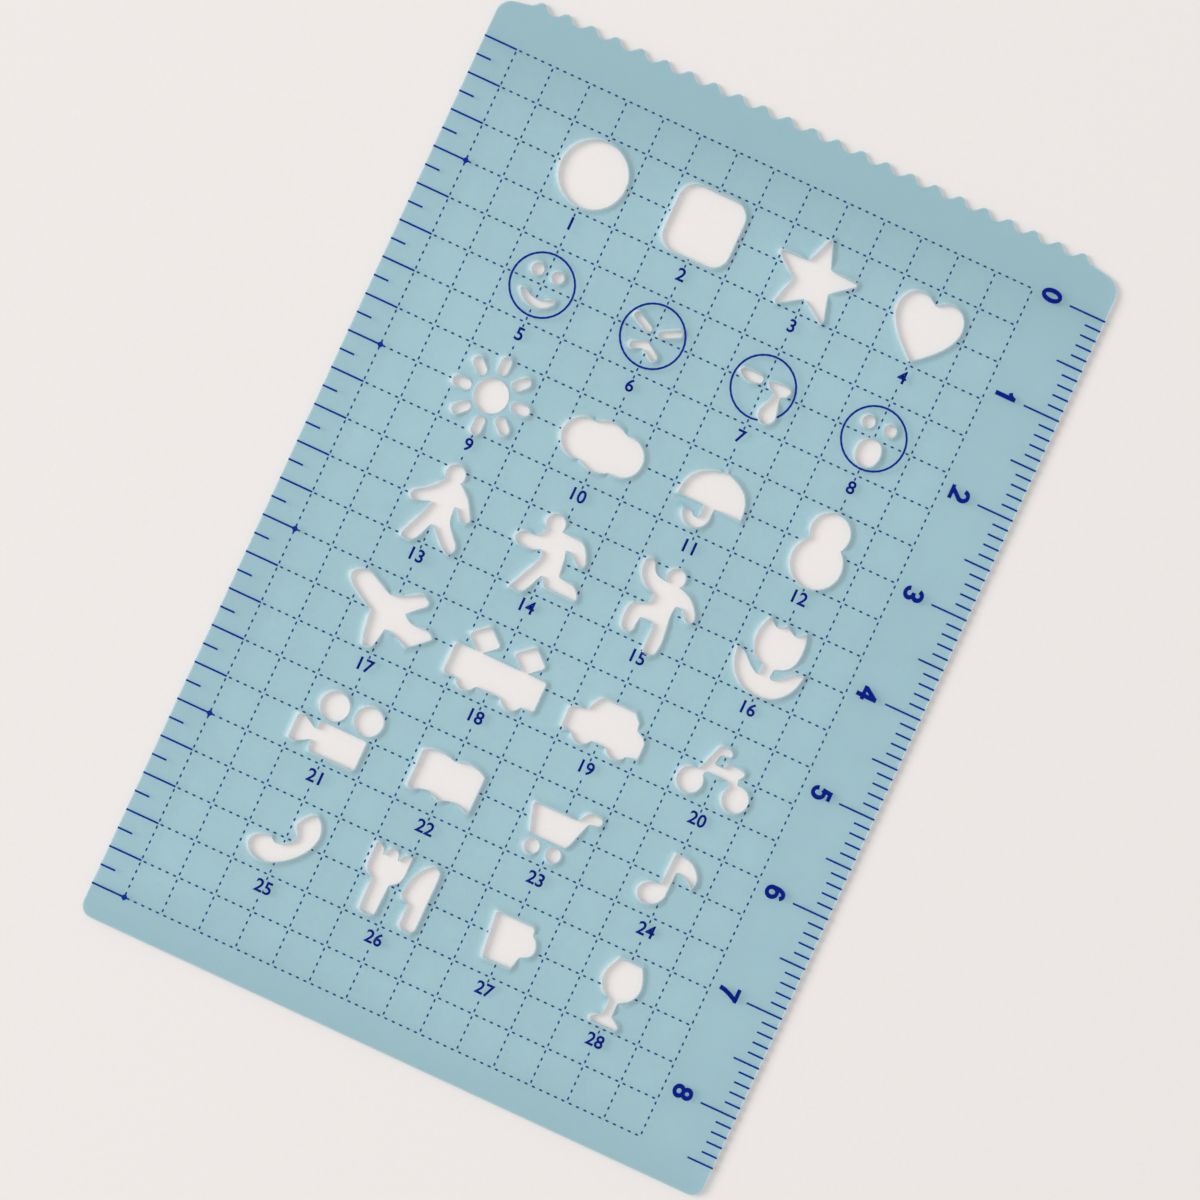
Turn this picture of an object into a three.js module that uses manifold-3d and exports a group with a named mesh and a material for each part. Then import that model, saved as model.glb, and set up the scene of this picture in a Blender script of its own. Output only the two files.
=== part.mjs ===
// A planner stencil: a thin see-through sheet with rows of small figures cut through it. Its top
// face is printed with a centimetre ruler down the right edge, marks that count the planner's
// squares down the left edge, and a ring round each of the four faces.
//
// Millimetres. The origin is the middle of the underside, +Y runs up the sheet towards its wavy
// edge, and +Z points out of the printed face. The print is a film of ink on that face.

import * as THREE from 'three';
import { mergeVertices } from 'three/addons/utils/BufferGeometryUtils.js';
import Module from 'manifold-3d';

// Planner squares, which the whole layout follows
const SQUARE = 3.7;
const SQUARES_ACROSS = 14;
const SQUARES_DOWN = 23;

// Sheet round the squares
const SHEET_THICKNESS = 0.5;
const LEFT_MARGIN = 3.25;
const RIGHT_MARGIN = 7.25;
const BOTTOM_MARGIN = 3;
const TOP_MARGIN = 4.2; // up to the troughs of the wavy edge
const BOTTOM_CORNER_RADIUS = 1.2;
const TOP_LEFT_CORNER_RADIUS = 1.5;
const TOP_RIGHT_CORNER_RADIUS = 2.8;
const SHOULDER_DROP = 0.5; // from the troughs down to the top corners

// Wavy top edge, with three waves to two squares
const WAVE_PITCH = (2 * SQUARE) / 3;
const WAVE_HEIGHT = 0.7;
const WAVE_SHARPNESS = 1.25; // over 1, the crests are narrower than the troughs
const WAVE_START = 2.47; // in from the left edge
const WAVE_POINTS = 8;

// Figures, spaced in whole squares and drawn in steps of a design raster
const FIGURE_ROWS = 7;
const FIGURE_COLUMNS = 4;
const FIGURE_SPACING = 3 * SQUARE;
const FIRST_FIGURE_ACROSS = 3 * SQUARE;
const FIRST_FIGURE_DOWN = 2 * SQUARE;
const FIGURE_STEP = 0.1;
const FIGURE_CORNER = 2; // steps, the radius of a corner that states none

// Ink film
const INK_THICKNESS = 0.03;

// Ruler down the right edge
const CENTIMETRE = 10;
const RULER_CENTIMETRES = 8.5; // from its first tick to its last
const TICK_WIDTH = 0.17;
const CM_TICK_LENGTH = 3.55;
const HALF_CM_TICK_LENGTH = 2.55;
const NUMERAL_HEIGHT = 1.95;
const NUMERAL_WIDTH = 1.33;
const NUMERAL_STROKE = 0.42; // of its upright parts
const NUMERAL_LEVEL_SHARE = 0.85; // how much of that its level parts have
const NUMERAL_TURN_STEP = 22.5; // degrees of a curve between two points
const SHARPEST_MITRE = 0.4; // cosine, past which a stroke's corner is cut short
const NUMERAL_TO_TICK = 0.88;
const NUMERAL_RISE = 0.16; // a numeral's middle above its tick

// Marks down the left edge, one to every fifth square, counted from the bottom
const MARK_EVERY = 5;
const MARK_WIDTH = 0.17;
const MARK_DIAMOND = 0.68; // corner to corner

// Rings round the faces
const RING_RADIUS = 3;
const RING_WIDTH = 0.19;
const TEAR_GAP_START = -75; // degrees, where a tear runs through its ring
const TEAR_GAP_END = -41;

// How far a straight chord may stray from the curve that it stands for, and how near two points
// may lie before they are drawn together
const CHORD_ERROR = 0.015;
const SHORTEST_EDGE = 0.012;

// The print is as long as the squares or the ruler, and both hang from its top
const PRINT_LENGTH = Math.max(SQUARES_DOWN * SQUARE, RULER_CENTIMETRES * CENTIMETRE);
const SHEET_WIDTH = LEFT_MARGIN + SQUARES_ACROSS * SQUARE + RIGHT_MARGIN;
const SHEET_LENGTH = BOTTOM_MARGIN + PRINT_LENGTH + TOP_MARGIN + WAVE_HEIGHT;
const LEFT_EDGE = -SHEET_WIDTH / 2;
const RIGHT_EDGE = SHEET_WIDTH / 2;
const BOTTOM_EDGE = -SHEET_LENGTH / 2;
const TROUGH_LINE = SHEET_LENGTH / 2 - WAVE_HEIGHT;
const GRID_LEFT = LEFT_EDGE + LEFT_MARGIN;
const GRID_TOP = BOTTOM_EDGE + BOTTOM_MARGIN + PRINT_LENGTH;
const GRID_BOTTOM = GRID_TOP - SQUARES_DOWN * SQUARE;

const plastic = new THREE.MeshStandardMaterial({
  color: 0x9dc1cc,
  roughness: 0.35,
  metalness: 0,
  transparent: true,
  opacity: 0.75,
});
const ink = new THREE.MeshStandardMaterial({ color: 0x102a84, roughness: 0.5, metalness: 0 });

const manifold = await Module();
manifold.setup();

// Outlines, as lists of points

/** Points along an arc, from one angle to another in radians. */
function arc(x, y, radius, from, to) {
  const step = 2 * Math.acos(1 - Math.min(CHORD_ERROR / radius, 0.2));
  const count = Math.ceil(Math.abs(to - from) / step);
  return Array.from({ length: count + 1 }, (_, i) => {
    const angle = from + ((to - from) * i) / count;
    return new THREE.Vector2(x + radius * Math.cos(angle), y + radius * Math.sin(angle));
  });
}

/** The same closed outline without points that all but coincide with the one before. */
function thinned(points) {
  return points.filter((p, i) => p.distanceTo(points.at(i - 1)) > SHORTEST_EDGE);
}

/**
 * A closed outline through [x, y, radius] corners. Each radius is limited by the sides beside it,
 * so Infinity makes a corner as round as its sides allow.
 */
function rounded(corners) {
  const points = corners.flatMap(([x, y, radius], i) => {
    const corner = new THREE.Vector2(x, y);
    const before = new THREE.Vector2(...corners.at(i - 1)).sub(corner);
    const after = new THREE.Vector2(...corners[(i + 1) % corners.length]).sub(corner);
    const slope = Math.tan((Math.PI - before.angleTo(after)) / 2);
    const reach = Math.min(radius * slope, before.length() / 2, after.length() / 2);
    if (reach < SHORTEST_EDGE) return [corner];
    const start = corner.clone().add(before.clone().setLength(reach));
    const end = corner.clone().add(after.clone().setLength(reach));
    const inward = before.normalize().add(after.normalize()).setLength(Math.hypot(reach, reach / slope));
    const centre = corner.clone().add(inward);
    const from = start.clone().sub(centre);
    const to = end.clone().sub(centre);
    const sweep = Math.atan2(from.cross(to), from.dot(to));
    return arc(centre.x, centre.y, from.length(), from.angle(), from.angle() + sweep);
  });
  return thinned(points);
}

/** The right half of an outline, from top to bottom, with its mirror image on the left. */
function mirrored(half) {
  const left = half.slice(1, -1).reverse();
  return [...half, ...left.map(([x, ...rest]) => [-x, ...rest])];
}

// The same outlines in steps of the figures' raster

const ROUND = Infinity;

function inSteps(corners) {
  return corners.map(([x, y, radius = FIGURE_CORNER]) => [
    x * FIGURE_STEP,
    y * FIGURE_STEP,
    radius * FIGURE_STEP,
  ]);
}

function outline(...corners) {
  return rounded(inSteps(corners));
}

function disc(x, y, radius) {
  const points = arc(x * FIGURE_STEP, y * FIGURE_STEP, radius * FIGURE_STEP, 0, 2 * Math.PI);
  return points.slice(1);
}

/** A bar with round ends, centred on the two points. */
function bar([x1, y1], [x2, y2], width) {
  const along = Math.atan2(y2 - y1, x2 - x1);
  const radius = (width / 2) * FIGURE_STEP;
  return [
    ...arc(x2 * FIGURE_STEP, y2 * FIGURE_STEP, radius, along - Math.PI / 2, along + Math.PI / 2),
    ...arc(x1 * FIGURE_STEP, y1 * FIGURE_STEP, radius, along + Math.PI / 2, along + 1.5 * Math.PI),
  ];
}

/** A band that bends round a point, with square ends, between two angles in degrees. */
function bend(x, y, radius, width, from, to) {
  const [start, end] = [from, to].map(THREE.MathUtils.degToRad);
  return [...arc(x, y, radius + width / 2, start, end), ...arc(x, y, radius - width / 2, end, start)];
}

function bendInSteps(x, y, radius, width, from, to) {
  return bend(...[x, y, radius, width].map((n) => n * FIGURE_STEP), from, to);
}

// Figures. Each is a list of outlines, which may run into each other.

const square = [outline([-33, -33, 16], [33, -33, 16], [33, 33, 16], [-33, 33, 16])];

const STAR_POINTS = 5;
const star = [
  outline(
    ...Array.from({ length: 2 * STAR_POINTS }, (_, i) => {
      const radius = i % 2 ? 18.8 : 45;
      const angle = Math.PI / 2 + (i * Math.PI) / STAR_POINTS;
      return [radius * Math.cos(angle), radius * Math.sin(angle) - 3.2, i % 2 ? 1 : 2.5];
    }),
  ),
];

const heart = [
  outline(
    ...mirrored([
      [0, 22.5, 1], [6.5, 28, ROUND], [15, 30, ROUND], [24, 27.8, ROUND], [30.3, 21, ROUND],
      [32.6, 12, ROUND], [31.8, 4, ROUND], [28.5, -4.5, ROUND], [22.5, -13, ROUND],
      [14, -22, ROUND], [6.5, -28.7, ROUND], [0, -33.5, 3],
    ]),
  ),
];

const happyFace = [
  disc(-10, 12, 6.25),
  disc(10, 12, 6.25),
  outline(
    [-18.5, -9, 1.5], [-15.8, -14.2, ROUND], [-8.8, -20.2, ROUND], [0, -21.6, ROUND],
    [8.8, -20.2, ROUND], [15.8, -14.2, ROUND], [18.5, -9, 1.5], [12.5, -8.4, 1.5],
    [6.5, -12.3, ROUND], [0, -13.8, ROUND], [-6.5, -12.3, ROUND], [-12.5, -8.4, 1.5],
  ),
];

const crossFace = [
  bar([-6.5, 4.5], [-21, 12], 7.2),
  bar([6.5, 4.5], [21, 12], 7.2),
  bar([-13.5, -14], [-3.5, -9.5], 7.5),
  bar([-3.5, -9.5], [8.5, -17.5], 7.5),
];

const cryingFace = [
  outline(
    [-27.3, 6.3, 3], [-24, 9.7, 3], [-14, 10.5, ROUND], [-3, 9.5, 3], [-3, 2.5, 3],
    [-14, -1.3, ROUND], [-22.5, 1.5, ROUND],
  ),
  outline(
    [1, 7.5, 1.5], [13, 10.5, ROUND], [25.8, 8.3, 3], [23.5, 0.5, 3], [18, -1.5, 2],
    [18.2, -6, 2], [21.5, -17, ROUND], [22.3, -25.5, ROUND], [13.5, -32.2, ROUND],
    [4.3, -25.5, ROUND], [5, -17, ROUND], [10.6, -6, 2], [11.3, -1.5, 2], [6, 1.5, ROUND],
  ),
];

const surprisedFace = [
  disc(-11, 12.3, 6.5),
  disc(10.5, 12.5, 6.5),
  outline(
    [0.5, 0.4, ROUND], [8.5, -2, ROUND], [12.3, -9, ROUND], [12.8, -16.5, ROUND],
    [9.5, -25, ROUND], [0.5, -28.5, ROUND], [-8.5, -25, ROUND], [-11.8, -16.5, ROUND],
    [-11.3, -9, ROUND], [-7.5, -2, ROUND],
  ),
];

const SUN_RAYS = 8;
const sun = [
  disc(0, 0, 16.5),
  ...Array.from({ length: SUN_RAYS }, (_, i) => {
    const angle = (i * 2 * Math.PI) / SUN_RAYS;
    const [near, far] = [25.2, 33.6].map((r) => [r * Math.cos(angle), r * Math.sin(angle)]);
    return bar(near, far, 10.5);
  }),
];

const cloud = [disc(-20, 0, 19.7), disc(1, 0.3, 24.3), disc(21.2, 0, 19.7)];

const umbrella = [
  outline(
    [3.2, 28.6, 1], [5.2, 26, 2], [14.5, 23, ROUND], [24.7, 17, ROUND], [31.2, 6, ROUND],
    [32.5, -8.5, 1], [-31.6, -8.5, 1], [-29.8, 6, ROUND], [-22.6, 17, ROUND], [-11.5, 23, ROUND],
    [1.2, 26, 2],
  ),
  outline([-4, -8, 0], [6, -8, 0], [6, -18.5, 0], [-4, -18.5, 0]),
  bendInSteps(-7.5, -18.4, 8.5, 10, -180, 0),
];

const snowman = [disc(0, 16, 19.2), disc(0, -14, 24.7)];

const walker = [
  disc(0.7, 32, 9.8),
  outline(
    [9.5, 26, 4], [15, 22, ROUND], [21, 16.5, ROUND], [26, 8.5, ROUND], [30.5, 0.5, 3],
    [30.5, -2.5, 2], [28, -5, 2], [22, -5, 3], [12.5, 7.5, 1], [13, -3.5, ROUND],
    [15, -11, ROUND], [20.5, -18, ROUND], [28, -25.5, ROUND], [29.5, -31, 4], [26, -37.5, 4],
    [21.5, -36.5, ROUND], [15.5, -32.5, ROUND], [9, -26, ROUND], [3, -19, ROUND], [0, -17.5, 1],
    [-2, -21, ROUND], [-4.5, -29.5, ROUND], [-8.5, -36.5, ROUND], [-12, -39.5, 3],
    [-22.5, -39, 3], [-22, -34, ROUND], [-18, -24.5, ROUND], [-13, -12, ROUND],
    [-10.5, -4.5, ROUND], [-8.5, 2, 1], [-13, -0.5, ROUND], [-21, -3.5, ROUND], [-27.5, -4, 3],
    [-30, -0.5, 3], [-29, 4, ROUND], [-24, 7.5, ROUND], [-19.5, 10, ROUND], [-13, 16, ROUND],
    [-8.5, 22.5, ROUND], [-6, 25, 4],
  ),
];

const runner = [
  disc(-8.5, 30, 9.5),
  outline(
    [-0.5, 25.5, 2], [19, 25.5, 3], [24, 23, ROUND], [29, 15.5, ROUND], [32, 7.5, ROUND],
    [31.5, 3.5, 2], [26, 2.5, 2], [22, 5, ROUND], [18.5, 9, ROUND], [14.5, 12, 3], [10, 12, 1],
    [12, 6, ROUND], [13.5, -4, ROUND], [14.5, -13.5, 2], [29, -14.2, 3], [33, -16.5, ROUND],
    [37, -22, ROUND], [38, -25.5, 1], [36, -27.5, 1], [6.5, -27, 3], [3.5, -25, ROUND],
    [2.5, -21, ROUND], [0, -17.5, 1], [-2, -21, ROUND], [-5.5, -31, ROUND], [-10, -39, 2],
    [-12.5, -40, 2], [-23, -40, 1], [-24, -39, 1], [-19, -28, ROUND], [-14, -17.5, ROUND],
    [-9.5, -7, ROUND], [-8, -2, ROUND], [-11, 3.5, 1], [-16, 0.2, ROUND], [-22, -1, ROUND],
    [-33.5, -0.5, 3], [-37.5, 2.5, ROUND], [-38, 6, ROUND], [-36, 10.5, ROUND],
    [-32, 12.7, ROUND], [-20.5, 13, 3], [-16, 17, ROUND], [-15, 22, 3],
  ),
];

const raisedArm = [
  disc(1, 31, 9.3),
  outline(
    [9, 24, 2], [13, 23, ROUND], [19.5, 20.5, ROUND], [26, 15, ROUND], [30.5, 8.5, ROUND],
    [32.5, 3, ROUND], [31, -1, ROUND], [27.5, -2.5, ROUND], [23, -0.5, ROUND], [20.5, 4, ROUND],
    [18, 7.5, 2], [11.5, 8, 2], [10.5, 0, ROUND], [11, -7, ROUND], [13, -18, ROUND],
    [14, -31, ROUND], [12.5, -40, 3], [8.5, -43.5, 3], [2, -43.5, 2], [0, -40, 2],
    [0, -21, ROUND], [-1, -14.5, 1], [-14, -14.5, 1], [-15, -21, ROUND], [-15, -28.5, 3],
    [-17.5, -31.5, 2], [-23.5, -31.5, 3], [-27.5, -29, ROUND], [-29, -21, ROUND],
    [-29, -11.5, ROUND], [-27, -5, ROUND], [-20, -3, ROUND], [-12, 1, 3], [-11.5, 9.5, 1],
    [-17.5, 11, ROUND], [-25, 15.5, ROUND], [-31, 23, ROUND], [-32, 31, ROUND], [-31.5, 37, 3],
    [-26.5, 39.5, 3], [-22, 36.5, ROUND], [-19.5, 29.5, ROUND], [-15.5, 26, ROUND],
    [-7.5, 24.5, 2],
  ),
];

const tulip = [
  outline(
    [-17.5, 35.5, 1.2], [-20.5, 29, ROUND], [-23.3, 17.5, ROUND], [-21.5, 6, ROUND],
    [-16.8, -2.2, ROUND], [-11, -5.5, ROUND], [-5.5, -6.8, 2], [-5, -18.5, 2],
    [-16.5, -11.5, ROUND],
    [-25, -2.5, ROUND], [-34, 0, 1], [-33, -8.5, ROUND], [-30, -18.5, ROUND],
    [-23, -28, ROUND], [-13.5, -34, ROUND], [0, -36.5, ROUND], [13.5, -34, ROUND],
    [23, -28, ROUND], [30, -18.5, ROUND], [33, -8.5, ROUND], [34, 0, 1], [25, -2.5, ROUND],
    [16.5, -11.5, ROUND], [5, -18.5, 2], [6, -6.8, 2], [11.5, -5.5, ROUND],
    [17.3, -2.2, ROUND], [22.2, 5, ROUND],
    [23.8, 15.5, ROUND], [22.7, 27, ROUND], [19.5, 35, 1.2], [11, 28, 1], [0.3, 34, 1],
    [-7.5, 28.5, 1],
  ),
];

const aeroplane = [
  outline(
    [-49, 22, ROUND], [-45, 28, ROUND], [-38.5, 31, ROUND], [-31.5, 31, ROUND],
    [-26, 28.5, ROUND], [-16, 23, ROUND], [-6.5, 18.7, 2], [1.5, 21.5, ROUND], [9.5, 26, ROUND],
    [17.5, 31, ROUND], [22, 31.5, ROUND], [28.5, 27, 2], [28.5, 23, ROUND], [22, 17.5, ROUND],
    [12.5, 8.5, 1], [17.5, 4.5, ROUND], [23.5, 2, ROUND], [30, 3, ROUND], [38, 3.8, ROUND],
    [43, 0.5, ROUND], [45, -2.5, 2], [36.5, -10.5, ROUND], [26, -19.5, 2], [17.5, -15.5, ROUND],
    [9.5, -12.5, ROUND], [1.5, -11.5, 1], [0.5, -18, ROUND], [-1, -27.5, ROUND], [-3, -32.5, 2],
    [-12, -32.5, 2], [-15, -24, ROUND], [-17, -11.5, ROUND], [-18.5, -0.5, 2], [-26, 3, ROUND],
    [-37, 9.5, ROUND], [-45, 15, ROUND],
  ),
];

const train = [
  outline([-46, -24.5, 3], [45.5, -24.5, 3], [45.5, 5.8, 3], [-46, 5.8, 3]),
  ...[-22.5, 22.8].map((x) =>
    outline(
      [x - 3.5, 4, 0], [x + 3.5, 4, 0], [x + 3.5, 6.5, 0], [x + 16.5, 17.5, 3], [x, 32, 3],
      [x - 16.5, 17.5, 3], [x - 3.5, 6.5, 0],
    ),
  ),
  ...[-22.5, 22.5].map((x) => disc(x, -21.5, 10.5)),
];

const car = [
  outline(
    [-12.5, 15.5, 3], [19.5, 15.5, 2], [26, 8, 2], [27.5, 0.5, 1], [35, -2, ROUND],
    [38.5, -7.5, ROUND], [38.7, -23.5, 1.5], [28, -25, 1], [-33.5, -25, 1], [-38, -23, 1.5],
    [-38.8, -4.5, 3], [-32, -1.5, ROUND], [-22, 0, 2], [-20, 7.5, ROUND], [-15, 14.5, 3],
  ),
  disc(17.5, -21, 11),
  disc(-17.3, -21, 11),
];

const bicycle = [
  disc(-22, -19.2, 12.8),
  disc(23.3, -18.7, 13),
  outline(
    [-20, -10, 0], [-10, 19, 2], [-7.5, 21.5, 2], [0, 21.5, 2], [5, 18.5, ROUND], [4.5, 14, 2],
    [-5, 13, 1], [-7.5, 3, 1], [3, 2.5, 1], [3, 8, 1], [11, 8.8, ROUND], [19.5, 8.3, ROUND],
    [23, 6, ROUND], [21, 1.5, ROUND], [18.5, -0.5, 2], [21, -9, 0], [14, -10.5, 0],
    [9.5, -6, 1], [-11.5, -6, 1], [-13, -12, 0],
  ),
];

const filmCamera = [
  disc(-10.2, 16.5, 14.2),
  disc(23.7, 16.5, 14.2),
  outline(
    [-17, -0.8, 2], [30.5, -0.8, 3], [30.5, -30.4, 3], [-17, -30.4, 3], [-17, -19.5, 1],
    [-30.5, -27.5, 2], [-38, -26.5, 2], [-38, -2.5, 2], [-31, -2, 2], [-17, -10, 1],
  ),
];

const openBook = [
  outline(
    [-32, 15, 2.5], [-24, 19, ROUND], [-11, 20, ROUND], [0, 16.5, 1], [7, 19.5, ROUND],
    [15, 20.5, ROUND], [24, 18.5, ROUND], [30.5, 14.5, 2.5], [30.5, -22, 2.5], [26, -21, ROUND],
    [15, -17.5, ROUND], [7, -19, ROUND], [0.5, -22.5, 1], [-5, -20.5, ROUND],
    [-11, -17.5, ROUND], [-19, -18.5, ROUND], [-25, -22.5, ROUND], [-32, -21.5, 2.5],
  ),
];

const trolley = [
  outline(
    [-32, 14.5, 2.5], [13, 15, 1], [17.5, 24, 3], [21, 26, 2], [31, 26, 3], [34.5, 23.5, ROUND],
    [34, 19, 2], [31, 16.7, 2], [24, 16.5, 2], [22.5, 14, ROUND], [15, -9.5, ROUND],
    [12, -13.5, 3], [-23.5, -13.5, 3],
  ),
  disc(-16.2, -23.5, 7.6),
  disc(5.3, -23.5, 7.6),
];

const musicNote = [
  outline(
    [-11.5, -6, ROUND], [-1, -6.5, ROUND], [3.8, -13.5, ROUND], [-1.5, -24.5, ROUND],
    [-11.5, -28.3, ROUND], [-20.5, -26, ROUND], [-24.7, -18, ROUND], [-20.5, -9.5, ROUND],
  ),
  outline(
    [-6, -14, 0], [2.6, -14, 0], [2.9, 10, 1], [11, 9, ROUND], [18, 4.5, ROUND], [21.5, 1, 1],
    [24, 7, ROUND], [22, 15, ROUND], [14, 23, ROUND], [4.5, 26, ROUND], [-5, 25, 1],
  ),
];

const handset = [
  outline(
    [12.5, 29, 2], [17.5, 30.3, 2], [23.5, 26, ROUND], [27.2, 18, ROUND], [28.1, 11.5, ROUND],
    [25.2, 0, ROUND], [19, -9.2, ROUND], [11.5, -17, ROUND], [2.5, -23.5, ROUND],
    [-8.5, -28.5, ROUND], [-18, -28.5, ROUND], [-26.5, -24.5, ROUND], [-30.5, -19, ROUND],
    [-31, -13.5, 3], [-27.5, -8, ROUND], [-19.5, -4.5, ROUND], [-12.5, -4, 1],
    [-7.3, -9.5, ROUND], [2.5, -4, ROUND], [7.3, -0.3, ROUND], [8.2, 4.5, ROUND],
    [6.2, 8.5, ROUND],
    [3, 15, 1], [6, 22, ROUND],
  ),
];

const forkAndKnife = [
  outline(
    [-35, 32, 1.5], [-35, 12, ROUND], [-33, 5, ROUND], [-25.5, 0, 2], [-24.7, -30, 3],
    [-20, -32, 3], [-13.5, -32, 3], [-8.7, -30, 3], [-8, 0, 2], [-0.5, 5, ROUND],
    [1.6, 12, ROUND], [1.6, 32, 1.5], [-4, 32, 1.5], [-7.5, 29, 1], [-9.5, 22, 0.5],
    [-11.2, 29, 1], [-13, 32, 1], [-20.5, 32, 1], [-22.3, 29, 1], [-24, 22, 0.5], [-26, 29, 1],
    [-29.5, 32, 1],
  ),
  outline(
    [25, 33, 2], [30, 30, 2], [31, 25, ROUND], [31, -27, 3], [28, -32, 3], [19, -32, 3],
    [15, -29, 3], [14.8, -8.5, 1], [8.5, -6.5, 1.5], [5.2, -2.3, 1.5], [6.5, 9.5, ROUND],
    [10, 19.5, ROUND], [15.5, 28, ROUND], [20.5, 32.3, ROUND],
  ),
];

const mug = [
  outline(
    [-20.5, 20.5, 2], [17.5, 21, 2.5], [19.5, 17, ROUND], [19.5, 13.5, 1], [24, 10.5, ROUND],
    [27.5, 3.5, ROUND], [27.2, -3, ROUND], [23, -7.5, ROUND], [16.5, -9.5, 1], [13.5, -23, 3],
    [-15.5, -23.5, 3],
  ),
];

const wineGlass = [
  outline(
    ...mirrored([
      [0, 29, 0], [11.5, 29, 1], [16.5, 20, ROUND], [19.2, 10, ROUND], [18, 2, ROUND],
      [12.5, -6, ROUND], [4.5, -9.5, 2], [4.5, -24, 2], [12.5, -28.5, ROUND], [14.5, -31.5, 2],
      [12.3, -34.5, 2], [0, -34.5, 0],
    ]),
  ),
];

/** The figures in reading order, row by row from the wavy edge down. */
const FIGURES = [
  [disc(0, 0, 32.5)],
  square,
  star,
  heart,
  happyFace,
  crossFace,
  cryingFace,
  surprisedFace,
  sun,
  cloud,
  umbrella,
  snowman,
  walker,
  runner,
  raisedArm,
  tulip,
  aeroplane,
  train,
  car,
  bicycle,
  filmCamera,
  openBook,
  trolley,
  musicNote,
  handset,
  forkAndKnife,
  mug,
  wineGlass,
];

/** Where a figure's middle lies. */
function figureCentre(index) {
  const row = Math.floor(index / FIGURE_COLUMNS) % FIGURE_ROWS;
  const column = index % FIGURE_COLUMNS;
  return new THREE.Vector2(
    GRID_LEFT + FIRST_FIGURE_ACROSS + column * FIGURE_SPACING,
    GRID_TOP - FIRST_FIGURE_DOWN - row * FIGURE_SPACING,
  );
}

// Solids

/** A flat piece with the given outline, and holes if any, from one height up to another. */
function plate(points, bottom, top, holes = []) {
  const shape = new THREE.Shape(points);
  shape.holes = holes.map((hole) => new THREE.Path(hole));
  const options = { depth: top - bottom, bevelEnabled: false };
  return new THREE.ExtrudeGeometry(shape, options).translate(0, 0, bottom);
}

function toManifold(geometry) {
  const bare = geometry.clone().deleteAttribute('normal').deleteAttribute('uv');
  const merged = mergeVertices(bare);
  const mesh = new manifold.Mesh({
    numProp: 3,
    vertProperties: merged.attributes.position.array,
    triVerts: new Uint32Array(merged.index.array),
  });
  return new manifold.Manifold(mesh);
}

/** The solid as a geometry, in which points that all but coincide are drawn together. */
function toGeometry(solid) {
  const { vertProperties, triVerts } = solid.getMesh();
  const positions = new THREE.BufferAttribute(vertProperties, 3);
  const points = Array.from({ length: positions.count }, (_, i) =>
    new THREE.Vector3().fromBufferAttribute(positions, i),
  );
  const first = points.map((p) => points.findIndex((q) => p.distanceTo(q) < SHORTEST_EDGE));
  const triangles = Array.from({ length: triVerts.length / 3 }, (_, i) =>
    Array.from(triVerts.slice(3 * i, 3 * i + 3), (corner) => first[corner]),
  );
  const geometry = new THREE.BufferGeometry();
  geometry.setAttribute('position', positions);
  geometry.setIndex(triangles.filter((corners) => new Set(corners).size === 3).flat());
  geometry.computeVertexNormals();
  return geometry;
}

/** Several geometries joined into one solid. */
function joined(geometries) {
  return toGeometry(geometries.map(toManifold).reduce((all, next) => all.add(next)));
}

/** The points of the wavy edge, from right to left. */
function wavyEdge() {
  const waves = Math.floor((SHEET_WIDTH - WAVE_START - TOP_RIGHT_CORNER_RADIUS) / WAVE_PITCH);
  const left = LEFT_EDGE + WAVE_START;
  return Array.from({ length: waves * WAVE_POINTS + 1 }, (_, i) => {
    const turn = waves - i / WAVE_POINTS;
    const rise = ((1 - Math.cos(2 * Math.PI * turn)) / 2) ** WAVE_SHARPNESS;
    return [left + turn * WAVE_PITCH, TROUGH_LINE + WAVE_HEIGHT * rise, 0];
  });
}

function stencilSheet() {
  const edge = rounded([
    [LEFT_EDGE, BOTTOM_EDGE, BOTTOM_CORNER_RADIUS],
    [RIGHT_EDGE, BOTTOM_EDGE, BOTTOM_CORNER_RADIUS],
    [RIGHT_EDGE, TROUGH_LINE - SHOULDER_DROP, TOP_RIGHT_CORNER_RADIUS],
    ...wavyEdge(),
    [LEFT_EDGE, TROUGH_LINE - SHOULDER_DROP, TOP_LEFT_CORNER_RADIUS],
  ]);
  const cutters = FIGURES.flatMap((outlines, index) => {
    const centre = figureCentre(index);
    return outlines.map((points) =>
      plate(points, -SHEET_THICKNESS, 2 * SHEET_THICKNESS).translate(centre.x, centre.y, 0),
    );
  });
  const blank = toManifold(plate(edge, 0, SHEET_THICKNESS));
  return toGeometry(cutters.map(toManifold).reduce((left, cutter) => left.subtract(cutter), blank));
}

/** A piece of the print, whose outline is drawn on the sheet's top face. */
function printed(points, holes = []) {
  return plate(points, SHEET_THICKNESS, SHEET_THICKNESS + INK_THICKNESS, holes);
}

/** A tick that runs in from the right edge. */
function rulerTick(distance, length) {
  const y = GRID_TOP - distance;
  return printed([
    new THREE.Vector2(RIGHT_EDGE - length, y - TICK_WIDTH / 2),
    new THREE.Vector2(RIGHT_EDGE, y - TICK_WIDTH / 2),
    new THREE.Vector2(RIGHT_EDGE, y + TICK_WIDTH / 2),
    new THREE.Vector2(RIGHT_EDGE - length, y + TICK_WIDTH / 2),
  ]);
}

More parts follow.
